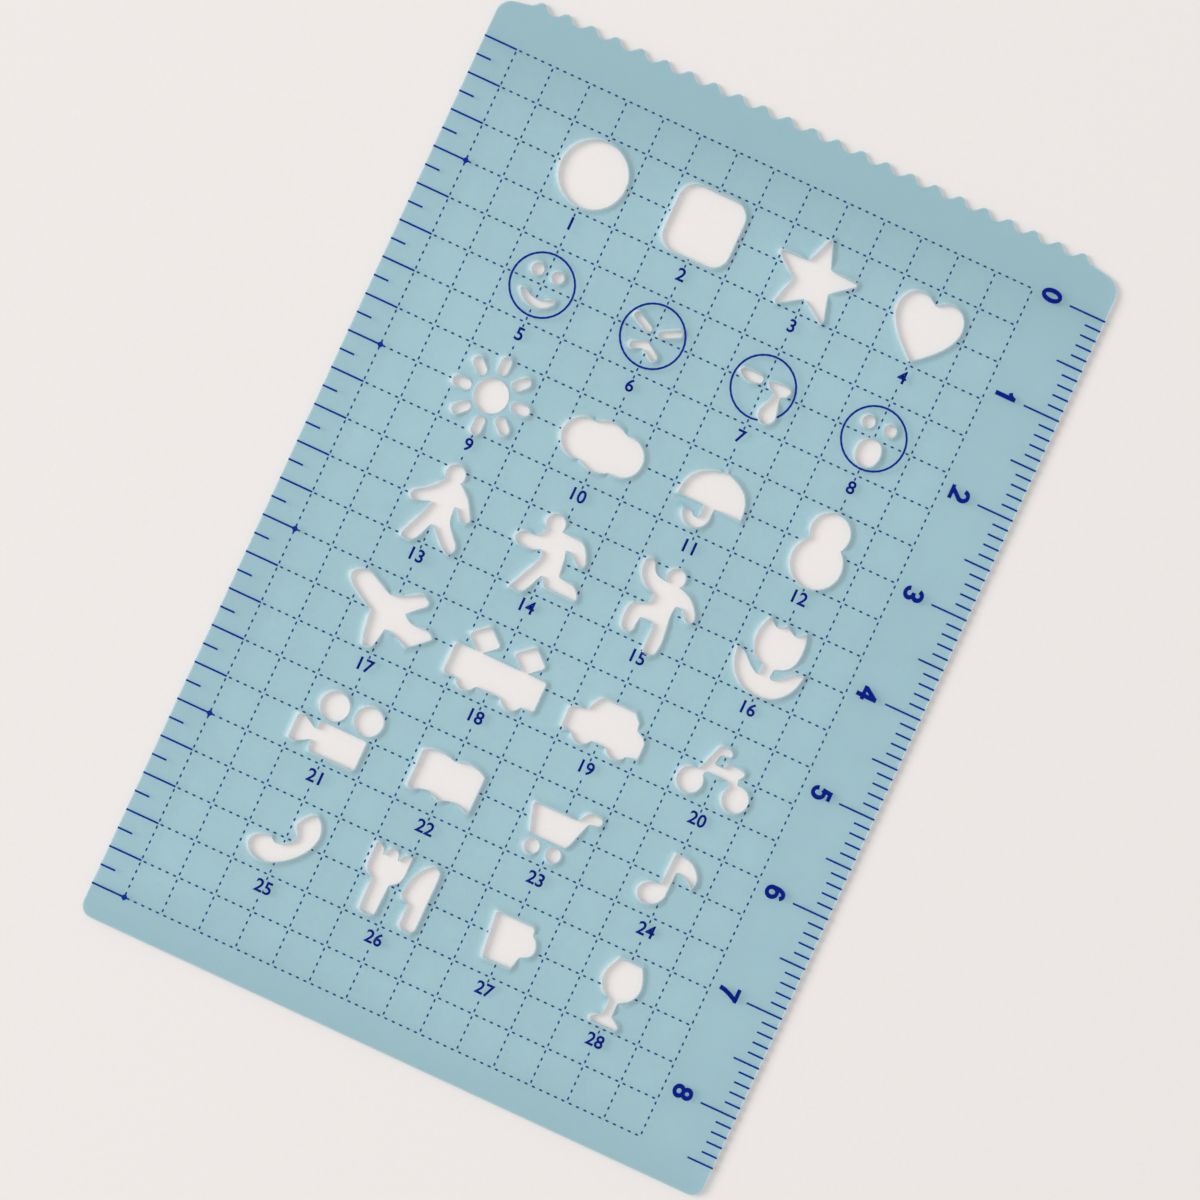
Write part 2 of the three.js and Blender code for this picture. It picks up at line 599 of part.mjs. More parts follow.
/** A line from the left edge to the squares, which ends in a diamond. */
function squareMark(squaresUp) {
  const y = GRID_BOTTOM + squaresUp * SQUARE;
  const [thin, half] = [MARK_WIDTH / 2, MARK_DIAMOND / 2];
  return printed([
    new THREE.Vector2(LEFT_EDGE, y - thin),
    new THREE.Vector2(GRID_LEFT - half + thin, y - thin),
    new THREE.Vector2(GRID_LEFT, y - half),
    new THREE.Vector2(GRID_LEFT + half, y),
    new THREE.Vector2(GRID_LEFT, y + half),
    new THREE.Vector2(GRID_LEFT - half + thin, y + thin),
    new THREE.Vector2(LEFT_EDGE, y + thin),
  ]);
}

/** The ring round a face, in one turn or open where a tear runs through it. */
function faceRing(index, open) {
  const { x, y } = figureCentre(index);
  const ring = open
    ? printed(bend(0, 0, RING_RADIUS, RING_WIDTH, TEAR_GAP_END, 360 + TEAR_GAP_START))
    : printed(arc(0, 0, RING_RADIUS + RING_WIDTH / 2, 0, 2 * Math.PI).slice(1), [
        arc(0, 0, RING_RADIUS - RING_WIDTH / 2, 0, 2 * Math.PI).slice(1),
      ]);
  return ring.translate(x, y, 0);
}

// Numerals, drawn upright in a box of 1 by 1 that holds the middle of the pen's stroke. The pen is
// round while it draws, and the whole is then pressed lower, which thins the level parts.

const DRAWN_HEIGHT = NUMERAL_HEIGHT / NUMERAL_LEVEL_SHARE;

/** Points along an ellipse in the box, between two angles in degrees. */
function curve(x, y, width, height, from, to) {
  const ellipse = new THREE.EllipseCurve(
    x,
    y,
    width / 2,
    height / 2,
    THREE.MathUtils.degToRad(from),
    THREE.MathUtils.degToRad(to),
    to < from,
  );
  const count = Math.ceil(Math.abs(to - from) / NUMERAL_TURN_STEP);
  return ellipse.getPoints(count).map((p) => [p.x, p.y]);
}

// How far the outside of the stroke lies from the box
const ABOVE = NUMERAL_STROKE / 2 / (DRAWN_HEIGHT - NUMERAL_STROKE);
const BESIDE = NUMERAL_STROKE / 2 / (NUMERAL_WIDTH - NUMERAL_STROKE);

const NUMERALS = [
  { loops: [curve(0.5, 0.5, 1, 1, 0, 360)] },
  {
    strokes: [
      [[0.62, 1 + ABOVE], [0.62, -ABOVE]],
      [[0.08, 0.72], [0.4, 0.8], [0.62, 1]],
    ],
  },
  {
    strokes: [
      [...curve(0.5, 0.69, 1, 0.62, 175, -25), [0.55, 0.3], [0.12, 0]],
      [[-BESIDE, 0], [1 + BESIDE, 0]],
    ],
  },
  {
    strokes: [
      [...curve(0.5, 0.75, 0.94, 0.5, 175, -90), [0.34, 0.5]],
      [[0.34, 0.5], ...curve(0.5, 0.25, 1, 0.5, 90, -176)],
    ],
  },
  {
    strokes: [
      [[0.79, 1 + ABOVE], [0.79, -ABOVE]],
      [[0.79, 1.03], [-0.04, 0.35]],
      [[-BESIDE, 0.3], [1 + BESIDE, 0.3]],
    ],
  },
  {
    strokes: [
      [[0.98, 1], [0.2, 1], [0.12, 0.5]],
      [[0.1, 0.5], ...curve(0.5, 0.33, 1, 0.66, 125, -170)],
    ],
  },
  {
    loops: [curve(0.5, 0.3, 1, 0.6, 0, 360)],
    strokes: [[...curve(0.5, 0.5, 1, 1, 42, 180), [0, 0.36]]],
  },
  {
    strokes: [
      [[-BESIDE, 1], [1 + BESIDE, 1]],
      [[0.98, 1], [0.6, 0.55], [0.37, 0.2], [0.29, -ABOVE]],
    ],
  },
  { loops: [curve(0.5, 0.76, 0.88, 0.48, 0, 360), curve(0.5, 0.26, 1, 0.52, 0, 360)] },
];

/** One side of a pen stroke, half its width away from the points of its middle. */
function besideStroke(points, closed, side) {
  return points.map((point, i) => {
    const before = points[i - 1] ?? (closed ? points.at(-1) : point);
    const after = points[i + 1] ?? (closed ? points[0] : point);
    const incoming = point.clone().sub(before).normalize();
    const outgoing = after.clone().sub(point).normalize();
    const along = incoming.clone().add(outgoing).normalize();
    const bend = Math.max(along.dot(outgoing.lengthSq() ? outgoing : incoming), SHARPEST_MITRE);
    const reach = (side * NUMERAL_STROKE) / 2 / bend;
    return new THREE.Vector2(point.x - along.y * reach, point.y + along.x * reach);
  });
}

/** A numeral as one solid, with the middle of its box at the origin. */
function numeral({ loops = [], strokes = [] }) {
  const place = ([x, y]) =>
    new THREE.Vector2(
      (x - 0.5) * (NUMERAL_WIDTH - NUMERAL_STROKE),
      (y - 0.5) * (DRAWN_HEIGHT - NUMERAL_STROKE),
    );
  const rings = loops.map((loop) => {
    const points = loop.slice(1).map(place);
    return printed(besideStroke(points, true, -1), [besideStroke(points, true, 1)]);
  });
  const ribbons = strokes.map((stroke) => {
    const points = stroke.map(place);
    return printed([
      ...besideStroke(points, false, -1),
      ...besideStroke(points, false, 1).reverse(),
    ]);
  });
  return joined([...rings, ...ribbons]).scale(1, NUMERAL_LEVEL_SHARE, 1);
}

// Assembly

const stencil = new THREE.Group();

function add(name, geometry, material) {
  const mesh = new THREE.Mesh(geometry, material);
  mesh.name = name;
  stencil.add(mesh);
  return mesh;
}

add('stencil_sheet', stencilSheet(), plastic);

const NUMERAL_MIDDLE = RIGHT_EDGE - CM_TICK_LENGTH - NUMERAL_TO_TICK - NUMERAL_HEIGHT / 2;

NUMERALS.forEach((drawing, value) => {
  const distance = value * CENTIMETRE;
  add(`cm_tick_${value}`, rulerTick(distance, CM_TICK_LENGTH), ink);
  add(`half_cm_tick_${value}`, rulerTick(distance + CENTIMETRE / 2, HALF_CM_TICK_LENGTH), ink);
  const digit = add(`numeral_${value}`, numeral(drawing), ink);
  digit.position.set(NUMERAL_MIDDLE, GRID_TOP - distance + NUMERAL_RISE, 0);
  digit.rotation.z = -Math.PI / 2;
});

for (let squaresUp = 0; squaresUp <= SQUARES_DOWN; squaresUp += MARK_EVERY) {
  add(`square_mark_${squaresUp}`, squareMark(squaresUp), ink);
}

FIGURES.forEach((figure, index) => {
  if (figure === happyFace) add('happy_face_ring', faceRing(index, false), ink);
  if (figure === crossFace) add('cross_face_ring', faceRing(index, false), ink);
  if (figure === cryingFace) add('crying_face_ring', faceRing(index, true), ink);
  if (figure === surprisedFace) add('surprised_face_ring', faceRing(index, false), ink);
});

export default stencil;
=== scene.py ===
"""A planner stencil: a thin see-through blue sheet with cut-out figures and a printed face.

Metres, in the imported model's own frame: +Y runs up the sheet towards its wavy edge, +X towards
the centimetre ruler, and +Z out of the printed face.
"""

from __future__ import annotations

import logging
import math
from collections.abc import Callable, Iterable, Iterator
from dataclasses import dataclass
from enum import Enum

import bmesh
import bpy
from mathutils import Matrix, Vector
from mathutils.bvhtree import BVHTree
from mathutils.kdtree import KDTree

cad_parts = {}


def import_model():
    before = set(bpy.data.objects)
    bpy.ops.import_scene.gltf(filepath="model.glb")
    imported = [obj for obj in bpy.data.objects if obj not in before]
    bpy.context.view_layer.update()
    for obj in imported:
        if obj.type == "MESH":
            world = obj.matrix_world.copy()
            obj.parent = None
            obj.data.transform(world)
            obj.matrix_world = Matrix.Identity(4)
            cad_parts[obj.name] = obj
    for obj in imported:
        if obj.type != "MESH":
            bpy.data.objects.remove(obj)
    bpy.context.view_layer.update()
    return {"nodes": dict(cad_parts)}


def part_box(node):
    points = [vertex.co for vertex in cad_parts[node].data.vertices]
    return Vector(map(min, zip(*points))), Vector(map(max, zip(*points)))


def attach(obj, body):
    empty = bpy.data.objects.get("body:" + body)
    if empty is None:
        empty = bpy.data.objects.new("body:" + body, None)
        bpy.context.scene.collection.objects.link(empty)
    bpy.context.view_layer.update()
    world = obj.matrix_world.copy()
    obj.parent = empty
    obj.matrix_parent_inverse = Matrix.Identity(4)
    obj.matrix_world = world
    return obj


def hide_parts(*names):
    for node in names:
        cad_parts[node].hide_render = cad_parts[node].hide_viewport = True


log = logging.getLogger("planner_stencil")

MM = 0.001
BODY = "root"

# Numbers that the sheet's mesh carries for its finishes: how high the lip stands at a point, as a
# share, and how far to the left of its cut-out the point lies, from -1 to 1, which places the rims'
# painted highlight and painted glow
LIP = "lip"
LEFT = "left"

# How many finer layers a pattern carries
FINE = 3.0
FINEST = 4.0

# A grain so large that the pattern doesn't change along that axis
EVEN = 1.0

# Metres, under which one point lies level with another
FLUSH = 1e-9

BLACK = (0.0, 0.0, 0.0)

Colour = tuple[float, float, float]
Point = tuple[float, float]
Socket = bpy.types.NodeSocket


class MaterialSlot(Enum):
    """The record's material slots."""

    SHEET = "sheet"
    INK = "ink"


class Run(Enum):
    """The way a printed line runs, as its turn from +X."""

    ACROSS = 0.0
    UP = math.pi / 2


# Finishes


class Recipe:
    """A material under construction, whose patterns all read the piece's own coordinates."""

    speck_turn: float = 0.4

    def __init__(self, name: str) -> None:
        """Starts a material with one plain shader.

        Args:
            name: The material's name.
        """
        self.material = bpy.data.materials.new(name)
        self.material.use_nodes = True
        self._tree = self.material.node_tree
        self._tree.nodes.clear()
        self._place = self._tree.nodes.new("ShaderNodeTexCoord").outputs["Object"]
        self.surface = self._tree.nodes.new("ShaderNodeBsdfPrincipled")
        output = self._tree.nodes.new("ShaderNodeOutputMaterial")
        self._tree.links.new(self.surface.outputs["BSDF"], output.inputs["Surface"])

    def feed(self, source: Socket | float | Colour, target: Socket) -> None:
        """Links a socket to an input, or sets the input to a plain value.

        Args:
            source: The socket, number or colour that the input takes.
            target: The input.
        """
        if isinstance(source, Socket):
            self._tree.links.new(source, target)
        elif isinstance(source, tuple):
            target.default_value = (*source, 1.0)
        else:
            target.default_value = source

    def _coordinates(self, grain: Colour, turn: float) -> Socket:
        """The piece's coordinates, counted in grains.

        Args:
            grain: The size of one grain of the pattern along each axis, in metres.
            turn: How far the pattern is turned about Z, in radians.

        Returns:
            The mapped coordinates.
        """
        mapping = self._tree.nodes.new("ShaderNodeMapping")
        mapping.inputs["Rotation"].default_value = (0.0, 0.0, turn)
        mapping.inputs["Scale"].default_value = tuple(1.0 / size for size in grain)
        self._tree.links.new(self._place, mapping.inputs["Vector"])
        return mapping.outputs["Vector"]

    def place(self, axis: str) -> Socket:
        """How far along one of the model's axes each point lies.

        Args:
            axis: X, Y or Z.

        Returns:
            The distance from the origin, in metres.
        """
        split = self._tree.nodes.new("ShaderNodeSeparateXYZ")
        self._tree.links.new(self._place, split.inputs["Vector"])
        return split.outputs[axis]

    def noise(self, size: float, detail: float = 2.0) -> Socket:
        """Soft random patches.

        Args:
            size: How large a patch is, in metres.
            detail: How many finer layers it carries.

        Returns:
            The strength of the pattern, from 0 to 1.
        """
        return self.streaks((size, size, size), 0.0, detail)

    def streaks(self, grain: Colour, turn: float, detail: float = 2.0) -> Socket:
        """Random patches that are longer one way than the other.

        Args:
            grain: The size of a patch along each axis, in metres.
            turn: How far the pattern is turned about Z, in radians.
            detail: How many finer layers it carries.

        Returns:
            The strength of the pattern, from 0 to 1.
        """
        texture = self._tree.nodes.new("ShaderNodeTexNoise")
        texture.inputs["Scale"].default_value = 1.0
        texture.inputs["Detail"].default_value = detail
        self._tree.links.new(self._coordinates(grain, turn), texture.inputs["Vector"])
        return texture.outputs["Fac"]

    def specks(self, spacing: float, size: float) -> Socket:
        """Small round specks, scattered unevenly.

        Args:
            spacing: The room that each speck has, in metres.
            size: A speck's radius, in metres.

        Returns:
            The strength of the specks, 1 in their middle.
        """
        texture = self._tree.nodes.new("ShaderNodeTexVoronoi")
        texture.inputs["Scale"].default_value = 1.0
        places = self._coordinates((spacing, spacing, spacing), self.speck_turn)
        self._tree.links.new(places, texture.inputs["Vector"])
        return self.band(texture.outputs["Distance"], size / spacing, 0.0)

    def band(self, source: Socket, low: float, high: float) -> Socket:
        """Stretches part of a pattern's range to the whole of 0 to 1.

        Args:
            source: The pattern.
            low: The strength that becomes 0.
            high: The strength that becomes 1.

        Returns:
            The stretched pattern.
        """
        stretch = self._tree.nodes.new("ShaderNodeMapRange")
        stretch.inputs["From Min"].default_value = low
        stretch.inputs["From Max"].default_value = high
        self._tree.links.new(source, stretch.inputs["Value"])
        return stretch.outputs["Result"]

    def combine(
        self,
        operation: str,
        first: Socket | float,
        second: Socket | float,
    ) -> Socket:
        """Puts two patterns together.

        Args:
            operation: The name of the sum, such as ADD or MULTIPLY.
            first: The first pattern or number.
            second: The second pattern or number.

        Returns:
            The result.
        """
        calculation = self._tree.nodes.new("ShaderNodeMath")
        calculation.operation = operation
        self.feed(first, calculation.inputs[0])
        self.feed(second, calculation.inputs[1])
        return calculation.outputs["Value"]

    def blend(
        self,
        amount: Socket,
        first: Socket | Colour,
        second: Socket | Colour,
    ) -> Socket:
        """Mixes two colours.

        Args:
            amount: The pattern, 0 for the first colour and 1 for the second.
            first: The first colour.
            second: The second colour.

        Returns:
            The mixed colour.
        """
        mix = self._tree.nodes.new("ShaderNodeMix")
        mix.data_type = "RGBA"
        first_in, second_in = (port for port in mix.inputs if port.type == "RGBA")
        self.feed(amount, mix.inputs["Factor"])
        self.feed(first, first_in)
        self.feed(second, second_in)
        return next(port for port in mix.outputs if port.type == "RGBA")

    def relief(self, pattern: Socket, depth: float) -> None:
        """Gives the surface a fine relief, on top of any that it has.

        Args:
            pattern: The height, from 0 to 1.
            depth: The height that 1 stands for, in metres.
        """
        bump = self._tree.nodes.new("ShaderNodeBump")
        bump.inputs["Distance"].default_value = depth
        normal = self.surface.inputs["Normal"]
        if normal.is_linked:
            self.feed(normal.links[0].from_socket, bump.inputs["Normal"])
        self.feed(pattern, bump.inputs["Height"])
        self.feed(bump.outputs["Normal"], normal)

    def attribute(self, name: str) -> Socket:
        """A number that the piece's mesh carries at each point.

        Args:
            name: The attribute's name.

        Returns:
            The number.
        """
        reader = self._tree.nodes.new("ShaderNodeAttribute")
        reader.attribute_name = name
        return reader.outputs["Fac"]


@dataclass(frozen=True)
class Scratches:
    """Hairline scratches that all run one way."""

    length: float
    turn: float
    cut_off: Point
    width: float = 0.05 * MM

    def pattern(self, recipe: Recipe) -> Socket:
        """Draws the scratches.

        Args:
            recipe: The material that is being made.

        Returns:
            The strength of the scratches.
        """
        streaks = recipe.streaks((self.length, self.width, EVEN), self.turn)
        return recipe.band(streaks, *self.cut_off)


@dataclass(frozen=True)
class TintedPlastic:
    """See-through blue plastic, faintly cloudy, with hairline scratches and a little dust.

    Its colour is painted a little darker towards the sheet's borders, as painted shade. Each fade
    runs from its first distance to its second, where it is full, both measured from that border.
    """

    low: Vector
    high: Vector
    top_fade: Point = (12.0 * MM, 5.5 * MM)
    bottom_fade: Point = (5.9 * MM, 0.0)
    right_fade: Point = (9.0 * MM, 6.0 * MM)
    left_fade: Point = (4.7 * MM, 2.6 * MM)
    side_share: float = 0.3
    # The colour of the painted shade towards the sheet's borders
    border: Colour = (0.315, 0.577, 0.66)
    deep: Colour = (0.354, 0.627, 0.714)
    pale: Colour = (0.396, 0.686, 0.774)
    dust: Colour = (0.72, 0.84, 0.87)
    # The colour of the rims' painted highlight
    strained: Colour = (0.84, 0.87, 0.84)
    opacity: float = 0.42
    refraction: float = 1.49
    swell: float = 0.383 * MM
    steep_range: Point = (2.38, -1.0)
    # Where the rims' painted highlight falls and how strong it is
    caught_range: Point = (-2.57, 1.0)
    strained_range: Point = (0.44, 0.956)
    cloud_size: float = 24.0 * MM
    mottle_size: float = 2.5 * MM
    cloud_range: Point = (0.3, 0.7)
    cloud_share: float = 0.65
    mottle_share: float = 0.35
    scratches: tuple[Scratches, Scratches] = (
        Scratches(3.5 * MM, 0.7, (0.7, 0.78)),
        Scratches(2.4 * MM, -1.1, (0.71, 0.79)),
    )
    worn_size: float = 9.0 * MM
    worn_range: Point = (0.5, 0.62)
    worn_whiteness: float = 0.5
    worn_roughness: float = 0.25
    speck_spacing: float = 3.1 * MM
    speck_radius: float = 0.09 * MM
    dusty_size: float = 6.0 * MM
    dusty_range: Point = (0.52, 0.6)
    grain_size: float = 0.35 * MM
    grain_depth: float = 0.0012 * MM
    roughness: float = 0.3
    roughness_spread: float = 0.12

    def material(self) -> bpy.types.Material:
        """Makes the material.

        Returns:
            The finished material.
        """
        recipe = Recipe("tinted_plastic")
        lip, left = recipe.attribute(LIP), recipe.attribute(LEFT)
        first, second = (scratches.pattern(recipe) for scratches in self.scratches)
        worn = recipe.combine(
            "MULTIPLY",
            recipe.combine("MAXIMUM", first, second),
            recipe.band(recipe.noise(self.worn_size), *self.worn_range),
        )
        grain = recipe.noise(self.grain_size, FINE)
        # Painted highlight: the plastic near a rim turns paler at the left of its cut-out, towards
        # the lamp's side
        highlight_share = recipe.combine("MULTIPLY", lip, recipe.band(left, *self.caught_range))
        tint = recipe.blend(self._cloud(recipe), self.deep, self.pale)
        # Painted shade: the plastic is darker towards the sheet's borders
        tint = recipe.blend(self._borders(recipe), tint, self.border)
        body = recipe.blend(recipe.band(highlight_share, *self.strained_range), tint, self.strained)
        recipe.feed(
            recipe.blend(self._marks(recipe, worn), body, self.dust),
            recipe.surface.inputs["Base Color"],
        )
        smoothest = self.roughness - self.roughness_spread / 2
        dull = recipe.combine("MULTIPLY", grain, self.roughness_spread)
        dull = recipe.combine("ADD", dull, smoothest)
        recipe.feed(
            recipe.combine("ADD", recipe.combine("MULTIPLY", worn, self.worn_roughness), dull),
            recipe.surface.inputs["Roughness"],
        )
        recipe.surface.inputs["Alpha"].default_value = self.opacity
        recipe.surface.inputs["IOR"].default_value = self.refraction
        steep = recipe.combine("MULTIPLY", lip, recipe.band(left, *self.steep_range))
        recipe.relief(steep, self.swell)
        recipe.relief(recipe.combine("SUBTRACT", grain, worn), self.grain_depth)
        return recipe.material

    def _cloud(self, recipe: Recipe) -> Socket:
        """The plastic's faint clouds, wide ones and small ones.

        Args:
            recipe: The material that is being made.

        Returns:
            The share of the paler tint.
        """
        wide = recipe.band(recipe.noise(self.cloud_size), *self.cloud_range)
        small = recipe.band(recipe.noise(self.mottle_size, FINE), *self.cloud_range)
        return recipe.combine(
            "ADD",
            recipe.combine("MULTIPLY", wide, self.cloud_share),
            recipe.combine("MULTIPLY", small, self.mottle_share),
        )

    def _marks(self, recipe: Recipe, worn: Socket) -> Socket:
        """The pale marks on the plastic: its scratches and its dust.

        Args:
            recipe: The material that is being made.
            worn: The strength of the scratches.

        Returns:
            The share of the dust's colour.
        """
        specks = recipe.combine(
            "MULTIPLY",
            recipe.specks(self.speck_spacing, self.speck_radius),
            recipe.band(recipe.noise(self.dusty_size), *self.dusty_range),
        )
        return recipe.combine(
            "MAXIMUM", recipe.combine("MULTIPLY", worn, self.worn_whiteness), specks
        )

    def _borders(self, recipe: Recipe) -> Socket:
        """How near the sheet's borders each point lies.

        Args:
            recipe: The material that is being made.

        Returns:
            The share of the border's painted shade.
        """
        up, across = recipe.place("Y"), recipe.place("X")
        ends = recipe.combine(
            "MAXIMUM",
            recipe.band(up, *(self.high.y - distance for distance in self.top_fade)),
            recipe.band(up, *(self.low.y + distance for distance in self.bottom_fade)),
        )
        sides = recipe.combine(
            "MAXIMUM",
            recipe.band(across, *(self.high.x - distance for distance in self.right_fade)),
            recipe.band(across, *(self.low.x + distance for distance in self.left_fade)),
        )
        return recipe.combine("MAXIMUM", ends, recipe.combine("MULTIPLY", sides, self.side_share))


@dataclass(frozen=True)
class FrostedEdge:
    """The cut plastic of the rims, dull, with a painted highlight that turns it whitish at the left
    of a cut-out.

    The rims that face away from the lamp also carry a faint painted glow, an emission that stands
    in for the light that clear plastic pipes to them.
    """

    dull: Colour = (0.46, 0.6, 0.65)
    # Shaded and bright, mixed at random, make the colour of the painted highlight
    shaded: Colour = (0.82, 0.88, 0.9)
    bright: Colour = (0.92, 0.95, 0.96)
    # The colour of the painted glow
    piped: Colour = (0.11, 0.135, 0.17)
    caught_range: Point = (0.25, 0.85)
    away_range: Point = (-0.2, 0.9)
    opacity: float = 0.5
    broken_size: float = 0.7 * MM
    broken_range: Point = (0.3, 0.6)
    grain_size: float = 0.06 * MM
    grain_depth: float = 0.004 * MM
    rough_range: Point = (-0.6, 1.6)

    def material(self) -> bpy.types.Material:
        """Makes the material.

        Returns:
            The finished material.
        """
        recipe = Recipe("frosted_edge")
        left = recipe.attribute(LEFT)
        broken = recipe.band(recipe.noise(self.broken_size, FINE), *self.broken_range)
        # Painted highlight: the rim turns whitish at the left of its cut-out
        highlight_share = recipe.band(left, *self.caught_range)
        white = recipe.blend(broken, self.shaded, self.bright)
        recipe.feed(recipe.blend(highlight_share, self.dull, white), recipe.surface.inputs["Base Color"])
        # Painted glow: a faint emission on the rims that face away from the lamp
        away = recipe.band(left, *self.away_range)
        recipe.feed(
            recipe.blend(away, BLACK, self.piped),
            recipe.surface.inputs["Emission Color"],
        )
        recipe.surface.inputs["Emission Strength"].default_value = 1.0
        recipe.surface.inputs["Alpha"].default_value = self.opacity
        grain = recipe.noise(self.grain_size)
        recipe.feed(recipe.band(grain, *self.rough_range), recipe.surface.inputs["Roughness"])
        recipe.relief(grain, self.grain_depth)
        return recipe.material


@dataclass(frozen=True)
class PrintedInk:
    """A film of ink, a little thinner in places, with the paper-fine grain of a screen print."""

    name: str
    full: Colour
    thin: Colour
    screen_size: float = 0.12 * MM
    screen_range: Point = (0.48, 0.75)
    patch_size: float = 1.8 * MM
    patch_range: Point = (0.35, 0.7)
    grain_size: float = 0.05 * MM
    grain_depth: float = 0.0015 * MM
    rough_range: Point = (-0.84, 1.6)
    shine: float = 0.06

    def material(self) -> bpy.types.Material:
        """Makes the material.

        Returns:
            The finished material.
        """
        recipe = Recipe(self.name)
        cover = recipe.combine(
            "MULTIPLY",
            recipe.band(recipe.noise(self.screen_size, FINE), *self.screen_range),
            recipe.band(recipe.noise(self.patch_size), *self.patch_range),
        )
        recipe.feed(recipe.blend(cover, self.full, self.thin), recipe.surface.inputs["Base Color"])
        grain = recipe.noise(self.grain_size)
        recipe.feed(recipe.band(grain, *self.rough_range), recipe.surface.inputs["Roughness"])
        recipe.surface.inputs["Specular IOR Level"].default_value = self.shine
        recipe.relief(grain, self.grain_depth)
        return recipe.material


BOLD_INK = PrintedInk("bold_ink", (0.0006, 0.009, 0.205), (0.005, 0.026, 0.275))
FINE_INK = PrintedInk("fine_ink", (0.001, 0.024, 0.26), (0.007, 0.05, 0.33))
DASH_INK = PrintedInk("dash_ink", (0.006, 0.05, 0.19), (0.02, 0.085, 0.25))


@dataclass(frozen=True)
class WarmPaper:
    """The pale plain paper that the stencil lies on."""

    light: Colour = (0.812, 0.77, 0.748)
    shade: Colour = (0.772, 0.735, 0.713)
    fibre_size: float = 0.4 * MM
    roughness: float = 0.9
    shine: float = 0.2

    def material(self) -> bpy.types.Material:
        """Makes the material.

        Returns:
            The finished material.
        """
        recipe = Recipe("warm_paper")
        fibre = recipe.noise(self.fibre_size, FINEST)
        tint = recipe.blend(fibre, self.shade, self.light)
        recipe.feed(tint, recipe.surface.inputs["Base Color"])
        recipe.surface.inputs["Roughness"].default_value = self.roughness
        recipe.surface.inputs["Specular IOR Level"].default_value = self.shine
        return recipe.material


# Pieces


def place_piece(
    name: str,
    shape: bmesh.types.BMesh,
    materials: Iterable[bpy.types.Material],
) -> bpy.types.Object:
    """Turns a finished shape into a piece that rides on the stencil.

    Args:
        name: The piece's name.
        shape: The shape, which is used up.
        materials: The materials, in the order of the faces' indices.

    Returns:
        The piece.
    """
    mesh = bpy.data.meshes.new(name)
    shape.to_mesh(mesh)
    shape.free()
    for material in materials:
        mesh.materials.append(material)
    piece = bpy.data.objects.new(name, mesh)
    bpy.context.scene.collection.objects.link(piece)
    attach(piece, BODY)
    triangles = sum(len(face.vertices) - 2 for face in mesh.polygons)
    log.info("%s: %d triangles", name, triangles)
    return piece


@dataclass(frozen=True)
class Layout:
    """Where the planner's squares and the figures lie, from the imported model's own places.

    The figures are spaced in whole squares.
    """

    left_edge: float
    right_edge: float
    grid_left: float
    grid_top: float
    face: float
    square: float = 3.7 * MM
    squares_across: int = 14
    squares_down: int = 23
    figure_rows: int = 7
    figure_columns: int = 4
    figure_spacing: int = 3
    first_figure_across: int = 3
    first_figure_down: int = 2

    @classmethod
    def from_frame(cls, left_margin: float = 3.25 * MM) -> Layout:
        """Reads the sheet's edges and the ruler's first tick.

        Args:
            left_margin: From the sheet's left edge to the squares.

        Returns:
            The layout.
        """
        low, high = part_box("stencil_sheet")
        first_low, first_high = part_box("cm_tick_0")
        return cls(
            left_edge=low.x,
            right_edge=high.x,
            grid_left=low.x + left_margin,
            grid_top=(first_low.y + first_high.y) / 2,
            face=high.z,
        )

    @property
    def grid_bottom(self) -> float:
        """The bottom of the squares."""
        return self.grid_top - self.squares_down * self.square

    def figures(self) -> Iterator[Point]:
        """The middles of the figures, row by row from the top left.

        Yields:
            One middle.
        """
        for row in range(self.figure_rows):
            down = self.first_figure_down + self.figure_spacing * row
            for column in range(self.figure_columns):
                across = self.first_figure_across + self.figure_spacing * column
                yield (self.grid_left + self.square * across, self.grid_top - self.square * down)


@dataclass(frozen=True)
class Station:
    """One step over a rounded edge: in from the cut, up from the underside, and up its lip."""

    inset: float
    height: float
    lip: float
    frosted: bool


def stations(*steps: tuple[float, float, float, bool]) -> tuple[Station, ...]:
    """Reads an edge's steps in millimetres.

    Args:
        steps: The inset, the height, the share of the lip's height that comes on top of it, and
            whether the band up to the next step is frosted.

    Returns:
        The stations in metres.
    """
    return tuple(
        Station(inset * MM, height * MM, lip, frosted) for inset, height, lip, frosted in steps
    )


